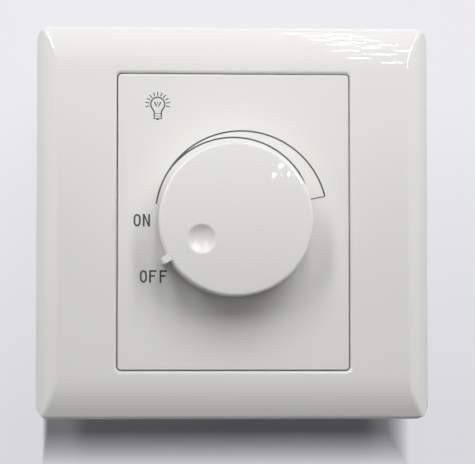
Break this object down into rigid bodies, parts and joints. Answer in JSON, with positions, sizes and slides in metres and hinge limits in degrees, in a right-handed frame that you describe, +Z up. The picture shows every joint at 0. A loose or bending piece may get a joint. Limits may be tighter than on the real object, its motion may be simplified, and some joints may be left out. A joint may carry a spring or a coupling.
{
  "type": "rotary dimmer switch",
  "caption": "Square white wall-plate rotary dimmer: a turning knob on a panel in a clip-on frame, with a rear module that has screw wire terminals.",
  "frame": {"origin": "centre of the plate on the wall's face, midway between the two fixing screws", "axes": "+Y into the wall, +X to the right and +Z up as the plate is seen from the room"},
  "size_m": [0.086, 0.0496, 0.086],
  "materials": {
    "gloss_white_plastic": "glossy moulded",
    "satin_white_plastic": "fine satin moulded",
    "matt_white_plastic": "spark-eroded matt",
    "zinc_plated_steel": "bright zinc plate",
    "nickel_plated_brass": "nickel plate",
    "phenolic_laminate": "pressed sheet",
    "tinned_brass": "tinned",
    "black_plastic": "moulded",
    "plain_brass": "extruded and sawn",
    "mill_aluminium": "mill finish",
    "black_epoxy": "transfer moulded",
    "ferrite": "sintered",
    "enamelled_copper": "enamelled",
    "yellow_plastic": "moulded box",
    "green_epoxy": "dipped",
    "fuse_glass": "glass-like sleeve",
    "resistor_lacquer": "lacquered",
    "blue_lacquer": "lacquered"
  },
  "bodies": {
    "switch_body": {"cover_frame": "gloss_white_plastic", "front_panel": "gloss_white_plastic", "mounting_base": "matt_white_plastic", "rear_housing": "matt_white_plastic", "case_screws": "zinc_plated_steel", "clamp_screws": "zinc_plated_steel", "sink_screw": "zinc_plated_steel", "sink_nut": "zinc_plated_steel", "pot_nut": "nickel_plated_brass", "pot_washer": "zinc_plated_steel", "pot_bushing": "nickel_plated_brass", "pot_can": "zinc_plated_steel", "track_wafer": "phenolic_laminate", "pot_lugs": "tinned_brass", "switch_housing": "black_plastic", "switch_leaf": "tinned_brass", "switch_contact": "tinned_brass", "live_terminal": "plain_brass", "load_terminal": "plain_brass", "circuit_board": "phenolic_laminate", "heat_sink": "mill_aluminium", "triac": "black_epoxy", "choke_core": "ferrite", "choke_winding": "enamelled_copper", "suppression_capacitor": "yellow_plastic", "timing_capacitor": "green_epoxy", "fuse": "fuse_glass", "resistors": "resistor_lacquer", "diac": "blue_lacquer"},
    "knob_rotor": {"knob": "satin_white_plastic", "pot_shaft": "nickel_plated_brass", "shaft_ring": "zinc_plated_steel", "wiper_rotor": "black_plastic", "wiper_spring": "tinned_brass", "switch_cam": "black_plastic"}
  },
  "joints": [
    {"name": "knob_turn", "type": "hinge", "parent": "switch_body", "child": "knob_rotor", "pos_m": [0, 0, 0], "axis": [0, 1, 0], "range_deg": [0, 198]}
  ]
}
